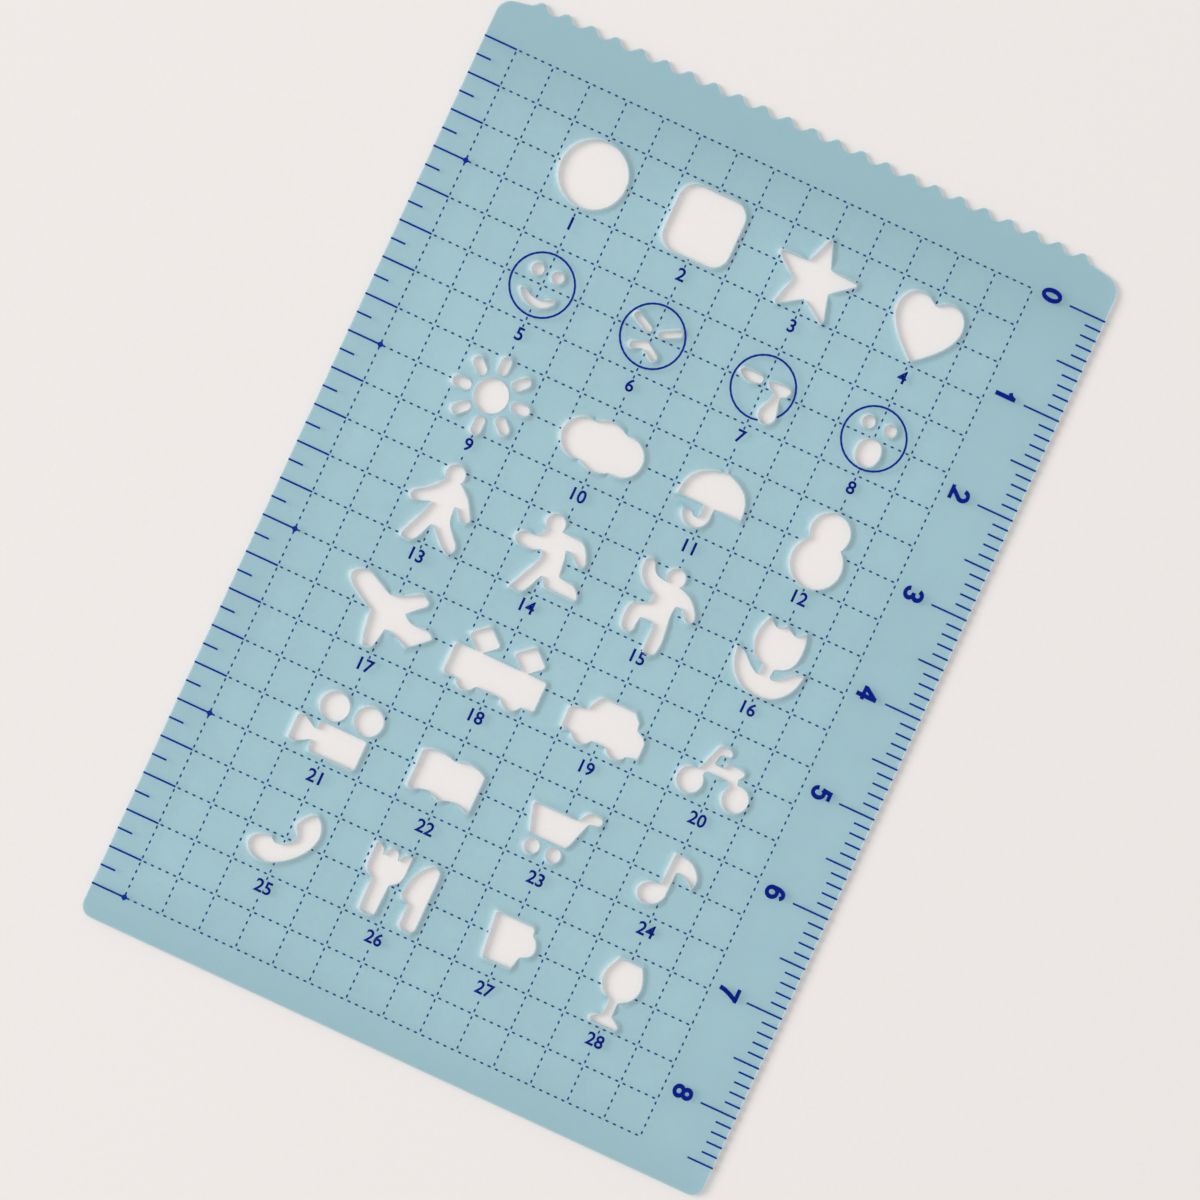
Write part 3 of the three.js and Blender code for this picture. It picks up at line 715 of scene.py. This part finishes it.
@dataclass(frozen=True)
class Sheet:
    """The cut sheet, with its edges rounded and a low lip raised round each cut-out.

    The cuts lean a little, so that the frosted wall shows at the left of each cut-out. Where the
    plastic before a point is narrow, its edge is scaled down, to no less than the tightest share.
    """

    node: bpy.types.Object
    plastic: bpy.types.Material
    edge: bpy.types.Material
    merge: float = 0.0005 * MM
    level: float = 0.5
    spacing: float = 0.3 * MM
    most_cuts: int = 24
    sharpest: float = 0.5
    room_share: float = 0.85
    tightest: float = 0.12
    smoothings: int = 3
    lip_height: float = 0.018 * MM
    lean: float = 0.08 * MM
    cut_out_edge: tuple[Station, ...] = stations(
        (0.0, 0.0, 0.0, False),
        (-0.05, 0.02, 0.0, True),
        (-0.06, 0.06, 0.0, True),
        (-0.075, 0.44, 0.0, True),
        (-0.075, 0.475, 0.0, True),
        (-0.06, 0.493, 0.6, True),
        (-0.035, 0.5, 1.0, True),
        (0.015, 0.5, 0.97, False),
        (0.08, 0.5, 0.86, False),
        (0.15, 0.5, 0.725, False),
        (0.22, 0.5, 0.585, False),
        (0.29, 0.5, 0.445, False),
        (0.36, 0.5, 0.315, False),
        (0.43, 0.5, 0.2, False),
        (0.5, 0.5, 0.11, False),
        (0.58, 0.5, 0.045, False),
        (0.67, 0.5, 0.01, False),
        (0.8, 0.5, 0.0, False),
    )
    outer_edge: tuple[Station, ...] = stations(
        (0.06, 0.0, 0.0, False),
        (0.018, 0.014, 0.0, False),
        (0.0, 0.05, 0.0, False),
        (0.0, 0.43, 0.0, True),
        (0.012, 0.47, 0.0, True),
        (0.04, 0.493, 0.0, True),
        (0.08, 0.5, 0.0, False),
    )

    def build(self) -> tuple[bpy.types.Object, BVHTree]:
        """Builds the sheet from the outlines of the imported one.

        Returns:
            The piece, and its surface for the print to follow.
        """
        shape = bmesh.new()
        shape.from_mesh(self.node.data)
        for name in (LIP, LEFT):
            shape.verts.layers.float.new(name)
        self._keep_outlines(shape)
        self._space_points(shape)
        loops = self._loops(shape)
        outer = max(loops, key=lambda loop: abs(self._area(loop)))
        cut_outs = [loop for loop in loops if loop is not outer]
        slides = self._slides(loops)
        rims = [
            self._raise_edge(shape, [outer], slides, self.outer_edge, 0.0),
            self._raise_edge(shape, cut_outs, slides, self.cut_out_edge, self.lean),
        ]
        for side in (0, 1):
            edges = [edge for rim in rims for edge in rim[side]]
            made = bmesh.ops.triangle_fill(shape, use_beauty=True, use_dissolve=False, edges=edges)
            for face in made["geom"]:
                if isinstance(face, bmesh.types.BMFace):
                    face.smooth = False
                    face.material_index = 0
        bmesh.ops.recalc_face_normals(shape, faces=shape.faces)
        surface = BVHTree.FromBMesh(shape)
        piece = place_piece("cut_sheet", shape, (self.plastic, self.edge))
        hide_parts(self.node.name)
        return piece, surface

    def _keep_outlines(self, shape: bmesh.types.BMesh) -> None:
        """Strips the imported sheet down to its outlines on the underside.

        Args:
            shape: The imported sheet's mesh.
        """
        bmesh.ops.remove_doubles(shape, verts=shape.verts, dist=self.merge)
        shape.normal_update()
        low = min(vert.co.z for vert in shape.verts) + self.merge
        outlines = {
            edge
            for edge in shape.edges
            if all(vert.co.z < low for vert in edge.verts)
            and len({abs(face.normal.z) > self.level for face in edge.link_faces}) == 2
        }
        bmesh.ops.delete(shape, geom=list(shape.faces), context="FACES_ONLY")
        spare = [edge for edge in shape.edges if edge not in outlines]
        bmesh.ops.delete(shape, geom=spare, context="EDGES")
        loose = [vert for vert in shape.verts if not vert.link_edges]
        bmesh.ops.delete(shape, geom=loose, context="VERTS")

    def _space_points(self, shape: bmesh.types.BMesh) -> None:
        """Divides the long straights, so that a lip can narrow close to a corner.

        Args:
            shape: The outlines.
        """
        by_cuts: dict[int, list[bmesh.types.BMEdge]] = {}
        for edge in shape.edges:
            cuts = min(math.ceil(edge.calc_length() / self.spacing) - 1, self.most_cuts)
            by_cuts.setdefault(cuts, []).append(edge)
        for cuts, edges in sorted(by_cuts.items()):
            if cuts > 0:
                bmesh.ops.subdivide_edges(shape, edges=edges, cuts=cuts)

    @staticmethod
    def _area(loop: list[bmesh.types.BMVert]) -> float:
        """Measures a loop.

        Args:
            loop: The loop's points in order.

        Returns:
            The area that it encloses, positive where it runs anticlockwise.
        """
        return sum(a.co.x * b.co.y - b.co.x * a.co.y for a, b in zip(loop[-1:] + loop, loop)) / 2

    def _loops(self, shape: bmesh.types.BMesh) -> list[list[bmesh.types.BMVert]]:
        """The outlines as closed loops, each with the plastic on its left.

        Args:
            shape: The outlines.

        Returns:
            The points of each loop in order.
        """
        loops: list[list[bmesh.types.BMVert]] = []
        seen: set[bmesh.types.BMVert] = set()
        for start in shape.verts:
            if start in seen:
                continue
            loop = [start]
            edge = start.link_edges[0]
            vert = edge.other_vert(start)
            while vert is not start:
                loop.append(vert)
                edge = next(other for other in vert.link_edges if other is not edge)
                vert = edge.other_vert(vert)
            seen.update(loop)
            loops.append(loop)
        outer = max(loops, key=lambda loop: abs(self._area(loop)))
        for loop in loops:
            if (self._area(loop) > 0) != (loop is outer):
                loop.reverse()
        return loops

    def _slides(
        self, loops: list[list[bmesh.types.BMVert]]
    ) -> dict[bmesh.types.BMVert, tuple[Vector, float]]:
        """How each point moves into the plastic, for one unit of inset.

        A point that has little plastic before it, such as one at the tip of a spike, moves less
        and has a lower lip, so that the bands of a lip never cross.

        Args:
            loops: The outlines, with the plastic on their left.

        Returns:
            The move of each point, and its share of the full one.
        """
        widest = max(station.inset for station in self.cut_out_edge)
        marks = [vert.co for loop in loops for vert in loop]
        marks += [(a.co + b.co) / 2 for loop in loops for a, b in zip(loop[-1:] + loop, loop)]
        tree = KDTree(len(marks))
        for index, mark in enumerate(marks):
            tree.insert(mark, index)
        tree.balance()
        slides: dict[bmesh.types.BMVert, tuple[Vector, float]] = {}
        for loop in loops:
            inward = []
            for before, vert, after in zip(loop[-1:] + loop, loop, loop[1:] + loop[:1]):
                sides = [(vert.co - before.co).normalized(), (after.co - vert.co).normalized()]
                normals = [Vector((-side.y, side.x, 0.0)) for side in sides]
                middle = (normals[0] + normals[1]).normalized()
                inward.append(middle / max(middle.dot(normals[0]), self.sharpest))
            shares = []
            for vert, move in zip(loop, inward):
                room = self._room(vert.co, move.normalized(), tree, 2 * widest)
                shares.append(min(max(self.room_share * room / widest, self.tightest), 1.0))
            for _ in range(self.smoothings):
                around = zip(shares[-1:] + shares, shares, shares[1:] + shares[:1])
                shares = [
                    min(share, (before + 2 * share + after) / 4)
                    for before, share, after in around
                ]
            for vert, move, share in zip(loop, inward, shares):
                slides[vert] = (move * share, share)
        return slides

    @staticmethod
    def _room(point: Vector, inward: Vector, tree: KDTree, reach: float) -> float:
        """The radius of the largest disc of plastic that touches the cut at a point.

        Args:
            point: The point on the cut.
            inward: The way into the plastic.
            tree: All points of the cuts.
            reach: How far the other points are looked for.

        Returns:
            The radius, or the reach where nothing limits it.
        """
        room = reach
        for mark, _, distance in tree.find_range(point, reach):
            ahead = (mark - point).dot(inward)
            if ahead > FLUSH:
                room = min(room, distance * distance / (2 * ahead))
        return room

    def _raise_edge(
        self,
        shape: bmesh.types.BMesh,
        loops: list[list[bmesh.types.BMVert]],
        slides: dict[bmesh.types.BMVert, tuple[Vector, float]],
        profile: tuple[Station, ...],
        lean: float,
    ) -> tuple[list[bmesh.types.BMEdge], list[bmesh.types.BMEdge]]:
        """Extrudes outlines step by step over the wall and the rounded edges.

        Args:
            shape: The mesh that holds the outlines.
            loops: The outlines.
            slides: How each point moves into the plastic.
            profile: The stations from the underside to the face.
            lean: How far the wall's foot lies to the right of its top.

        Returns:
            The edges that bound the underside, and those that bound the face.
        """
        lip, left = (shape.verts.layers.float[name] for name in (LIP, LEFT))
        rising = {vert: (vert.co.copy(), *slides[vert]) for loop in loops for vert in loop}
        below = edges = [edge for edge in shape.edges if edge.verts[0] in rising]
        for index, station in enumerate(profile):
            if index:
                made = bmesh.ops.extrude_edge_only(shape, edges=edges)["geom"]
                edges = [item for item in made if isinstance(item, bmesh.types.BMEdge)]
                rising = {
                    vert: next(
                        rising[edge.other_vert(vert)]
                        for edge in vert.link_edges
                        if edge.other_vert(vert) in rising
                    )
                    for vert in made
                    if isinstance(vert, bmesh.types.BMVert)
                }
                for item in made:
                    if isinstance(item, bmesh.types.BMFace):
                        item.smooth = True
                        item.material_index = int(profile[index - 1].frosted)
            for vert, (start, slide, share) in rising.items():
                vert[lip] = station.lip * share
                vert[left] = -slide.normalized().x
                vert.co = start + slide * station.inset
                vert.co.x += lean * (1 - station.height / profile[-1].height)
                vert.co.z = station.height + station.lip * share * self.lip_height
        return below, edges


# The sides of a rounded mark
SIDES = 8


@dataclass(frozen=True)
class Print:
    """Marks printed on the face. Each lies on the sheet's surface and follows its lips."""

    layout: Layout
    surface: BVHTree
    film: float = 0.009 * MM
    drop_from: float = 10.0 * MM
    sunk: float = 0.01 * MM

    def height(self, x: float, y: float) -> float | None:
        """The face's height at a place, or None where the sheet is cut away.

        Args:
            x: The place across.
            y: The place up the sheet.

        Returns:
            The height above the underside.
        """
        hit = self.surface.ray_cast(Vector((x, y, self.drop_from)), Vector((0.0, 0.0, -1.0)))[0]
        return hit.z if hit and hit.z > self.layout.face - self.sunk else None

    @staticmethod
    def bar(
        shape: bmesh.types.BMesh,
        middle: Point,
        length: float,
        width: float,
        run: Run,
        rounded: bool = False,
    ) -> None:
        """Adds one flat bar.

        Args:
            shape: The mesh of the flat marks.
            middle: The bar's middle.
            length: Its length.
            width: Its width.
            run: The way it runs.
            rounded: Whether its ends are rounded off.
        """
        turned = Matrix.Translation((*middle, 0.0)) @ Matrix.Rotation(run.value, 4, "Z")
        if rounded:
            stretch = Matrix.Diagonal((length / 2, width / 2, 1.0, 1.0))
            half_side = math.pi / SIDES
            matrix = turned @ stretch @ Matrix.Rotation(half_side, 4, "Z")
            bmesh.ops.create_circle(
                shape,
                cap_ends=True,
                segments=SIDES,
                radius=1 / math.cos(half_side),
                matrix=matrix,
            )
        else:
            matrix = turned @ Matrix.Diagonal((length, width, 1.0, 1.0))
            bmesh.ops.create_grid(shape, x_segments=1, y_segments=1, size=0.5, matrix=matrix)

    def lay(self, name: str, shape: bmesh.types.BMesh, ink: bpy.types.Material) -> bpy.types.Object:
        """Lays flat marks on the face and gives them the thickness of the ink.

        Args:
            name: The piece's name.
            shape: The flat marks, which are used up.
            ink: Their material.

        Returns:
            The piece.
        """
        for vert in shape.verts:
            vert.co.z = self.height(vert.co.x, vert.co.y) or self.layout.face
        for face in shape.faces:
            if face.normal.z < 0:
                face.normal_flip()
        made = bmesh.ops.extrude_face_region(shape, geom=list(shape.faces), use_keep_orig=True)
        raised = [item for item in made["geom"] if isinstance(item, bmesh.types.BMVert)]
        bmesh.ops.translate(shape, verts=raised, vec=(0.0, 0.0, self.film))
        bmesh.ops.recalc_face_normals(shape, faces=shape.faces)
        return place_piece(name, shape, (ink,))


@dataclass(frozen=True)
class DashedSquares(Print):
    """The planner's squares in dashed lines, left out behind the small numbers."""

    dashes_to_a_square: int = 5
    length: float = 0.33 * MM
    width: float = 0.165 * MM
    shortest: float = 0.12 * MM
    steps: int = 10
    rim: float = 0.12 * MM
    ways_round: tuple[float, ...] = (0.0, 1.6, 3.1, 4.7)
    number_low: float = -5.8 * MM
    number_high: float = -4.5 * MM

    def build(self, ink: bpy.types.Material) -> bpy.types.Object:
        """Builds every dash that lies on plastic.

        Args:
            ink: The squares' material.

        Returns:
            The piece.
        """
        layout = self.layout
        shape = bmesh.new()
        pitch = layout.square / self.dashes_to_a_square
        across = layout.squares_across * self.dashes_to_a_square
        up = layout.squares_down * self.dashes_to_a_square
        for line in range(layout.squares_down + 1):
            for dash in range(across):
                x = layout.grid_left + (dash + 0.5) * pitch
                self._dash(shape, (x, layout.grid_top - line * layout.square), Run.ACROSS)
        numbers = list(layout.figures())
        for line in range(layout.squares_across + 1):
            x = layout.grid_left + line * layout.square
            for dash in range(up):
                y = layout.grid_top - (dash + 0.5) * pitch
                if not any(
                    abs(x - middle) < pitch and self.number_low < y - level < self.number_high
                    for middle, level in numbers
                ):
                    self._dash(shape, (x, y), Run.UP)
        return self.lay("dashed_squares", shape, ink)

    def _dash(self, shape: bmesh.types.BMesh, middle: Point, run: Run) -> None:
        """Adds a dash, cut short where it comes near a cut-out's rim.

        Args:
            shape: The mesh of the flat marks.
            middle: The whole dash's middle.
            run: The way it runs.
        """
        way = Vector((math.cos(run.value), math.sin(run.value)))
        steps = [(step / self.steps - 0.5) * self.length for step in range(self.steps + 1)]
        clear = [step for step in steps if self._is_clear(Vector(middle) + way * step)]
        if not clear or clear[-1] - clear[0] < self.shortest:
            return
        centre = Vector(middle) + way * (clear[0] + clear[-1]) / 2
        self.bar(shape, tuple(centre), clear[-1] - clear[0], self.width, run, rounded=True)

    def _is_clear(self, place: Vector) -> bool:
        """Tells whether plastic lies under a place and a rim's width round it.

        Args:
            place: The place across and up the sheet.

        Returns:
            Whether the print reaches it.
        """
        around = [Vector((math.cos(turn), math.sin(turn))) * self.rim for turn in self.ways_round]
        around.insert(0, Vector((0.0, 0.0)))
        return all(self.height(*(place + step)) is not None for step in around)


@dataclass(frozen=True)
class EdgeTicks(Print):
    """The short ticks of the ruler and of the squares, which run in from the sheet's edges.

    Every fifth tick of each is longer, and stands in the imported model.
    """

    width: float = 0.175 * MM
    millimetre_length: float = 1.55 * MM
    half_square_length: float = 1.45 * MM
    ruler_length: int = 85
    packed_every: int = 5
    edge_gap: float = 0.03 * MM

    def build(self, ink: bpy.types.Material) -> list[bpy.types.Object]:
        """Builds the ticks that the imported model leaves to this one.

        Args:
            ink: The ticks' material.

        Returns:
            The pieces.
        """
        layout = self.layout
        ruler = bmesh.new()
        right = layout.right_edge - self.edge_gap
        for millimetre in range(self.ruler_length + 1):
            if millimetre % self.packed_every:
                y = layout.grid_top - millimetre * MM
                self._tick(ruler, right - self.millimetre_length, right, y)
        squares = bmesh.new()
        left = layout.left_edge + self.edge_gap
        for count in range(layout.squares_down + 1):
            y = layout.grid_bottom + count * layout.square
            if count % self.packed_every:
                self._tick(squares, left, layout.grid_left, y)
            if count < layout.squares_down:
                self._tick(squares, left, left + self.half_square_length, y + layout.square / 2)
        return [
            self.lay("millimetre_ticks", ruler, ink),
            self.lay("square_ticks", squares, ink),
        ]

    def _tick(self, shape: bmesh.types.BMesh, start: float, end: float, y: float) -> None:
        """Adds a tick.

        Args:
            shape: The mesh of the flat marks.
            start: The place across where it starts.
            end: The place across where it ends.
            y: The place up the sheet.
        """
        self.bar(shape, ((start + end) / 2, y), abs(end - start), self.width, Run.ACROSS)


@dataclass(frozen=True)
class CutOutNumbers(Print):
    """A small plain number under each cut-out, counted row by row."""

    digit_height: float = 1.25 * MM
    baseline: float = -5.53 * MM
    boldness: float = 0.02
    curve_steps: int = 4

    def build(self, ink: bpy.types.Material) -> bpy.types.Object:
        """Builds all the numbers as one piece.

        Args:
            ink: The numbers' material.

        Returns:
            The piece.
        """
        shape = bmesh.new()
        for index, (x, y) in enumerate(self.layout.figures(), start=1):
            self._number(shape, str(index), (x, y + self.baseline))
        return self.lay("cut_out_numbers", shape, ink)

    def _number(self, shape: bmesh.types.BMesh, text: str, foot: Point) -> None:
        """Adds one number, centred over a point of its baseline.

        Args:
            shape: The mesh of the flat marks.
            text: The number.
            foot: The middle of its baseline.
        """
        curve = bpy.data.curves.new(f"number_{text}", "FONT")
        curve.body = text
        curve.resolution_u = self.curve_steps
        curve.offset = self.boldness
        writing = bpy.data.objects.new(curve.name, curve)
        mesh = bpy.data.meshes.new_from_object(writing)
        low = Vector(map(min, zip(*(vert.co for vert in mesh.vertices))))
        high = Vector(map(max, zip(*(vert.co for vert in mesh.vertices))))
        scale = self.digit_height / (high.y - low.y)
        middle = Vector(((low.x + high.x) / 2, low.y, 0.0))
        mesh.transform(
            Matrix.Translation((*foot, 0.0)) @ Matrix.Scale(scale, 4) @ Matrix.Translation(-middle)
        )
        shape.from_mesh(mesh)
        bpy.data.objects.remove(writing)
        bpy.data.curves.remove(curve)
        bpy.data.meshes.remove(mesh)


# Setting


@dataclass(frozen=True)
class Studio:
    """The floor, the lamps and the camera, which looks straight down as the photograph does."""

    turn: float = math.radians(24.86)
    view_width: float = 109.5 * MM
    middle: Point = (0.04 * MM, -0.71 * MM)
    lens: float = 100.0
    sensor: float = 36.0
    nearest: float = 0.01
    farthest: float = 20.0
    floor_drop: float = 0.03 * MM
    floor_half: float = 1.5
    key_place: tuple[float, float, float] = (-2.443, 0.938, 1.89)
    key_size: float = 1.61
    key_power: float = 83.0
    sky_strength: float = 0.637

    def build(self) -> None:
        """Builds the whole setting."""
        self._floor()
        self._camera()
        self._key_lamp()
        self._sky()

    def _in_view(self, right: float, up: float, height: float) -> Vector:
        """A place that is given along the picture's sides.

        Args:
            right: Metres to the right in the picture.
            up: Metres up in the picture.
            height: Metres above the floor.

        Returns:
            The place in the model's frame.
        """
        place = Matrix.Rotation(self.turn, 3, "Z") @ Vector((right, up, 0.0))
        return place + Vector((*self.middle, height))

    def _floor(self) -> None:
        """Lays the paper that the stencil rests on."""
        shape = bmesh.new()
        place = Matrix.Translation((0.0, 0.0, -self.floor_drop))
        bmesh.ops.create_grid(
            shape, x_segments=1, y_segments=1, size=self.floor_half, matrix=place
        )
        mesh = bpy.data.meshes.new("paper_floor")
        shape.to_mesh(mesh)
        shape.free()
        mesh.materials.append(WarmPaper().material())
        floor = bpy.data.objects.new("paper_floor", mesh)
        bpy.context.scene.collection.objects.link(floor)

    def _camera(self) -> None:
        """Sets the camera above the sheet."""
        data = bpy.data.cameras.new("camera")
        data.lens = self.lens
        data.sensor_width = self.sensor
        data.clip_start = self.nearest
        data.clip_end = self.farthest
        camera = bpy.data.objects.new("camera", data)
        distance = self.view_width * self.lens / self.sensor
        camera.location = self._in_view(0.0, 0.0, distance)
        camera.rotation_euler = (0.0, 0.0, self.turn)
        bpy.context.scene.collection.objects.link(camera)
        bpy.context.scene.camera = camera

    def _key_lamp(self) -> None:
        """Hangs a square lamp, upper left in the picture, that faces the sheet."""
        data = bpy.data.lights.new("key", "AREA")
        data.size = self.key_size
        data.energy = self.key_power
        lamp = bpy.data.objects.new("key", data)
        lamp.location = self._in_view(*self.key_place)
        lamp.rotation_euler = lamp.location.to_track_quat("Z", "Y").to_euler()
        bpy.context.scene.collection.objects.link(lamp)

    def _sky(self) -> None:
        """Lights the sheet evenly from all sides."""
        world = bpy.data.worlds.new("studio")
        world.use_nodes = True
        background = world.node_tree.nodes["Background"]
        background.inputs["Color"].default_value = (1.0, 1.0, 1.0, 1.0)
        background.inputs["Strength"].default_value = self.sky_strength
        bpy.context.scene.world = world


def dress_ink(
    nodes: dict[str, bpy.types.Object],
    choose: Callable[[str], bpy.types.Material],
) -> None:
    """Gives each packed ink solid its printed finish.

    Args:
        nodes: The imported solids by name.
        choose: Picks the material from a solid's name.
    """
    for name, node in sorted(nodes.items()):
        for slot in node.material_slots:
            slot.link = "OBJECT"
            slot.material = choose(name)
        log.info("%s: printed finish", name)


def main() -> None:
    """Builds the stencil piece by piece."""
    logging.basicConfig(level=logging.INFO, format="%(message)s")
    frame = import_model()
    scene = bpy.context.scene
    scene.view_settings.view_transform = "Standard"

    layout = Layout.from_frame()
    bold, fine, dashes = (ink.material() for ink in (BOLD_INK, FINE_INK, DASH_INK))

    nodes = dict(frame["nodes"])
    sheet_node = nodes.pop("stencil_sheet")
    plastic = TintedPlastic(*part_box(sheet_node.name)).material()
    sheet = Sheet(sheet_node, plastic, FrostedEdge().material())
    surface = sheet.build()[1]
    dress_ink(nodes, lambda name: bold if name.startswith("numeral") else fine)
    DashedSquares(layout, surface).build(dashes)
    EdgeTicks(layout, surface).build(fine)
    CutOutNumbers(layout, surface).build(bold)
    Studio().build()


if __name__ == "__main__":
    main()
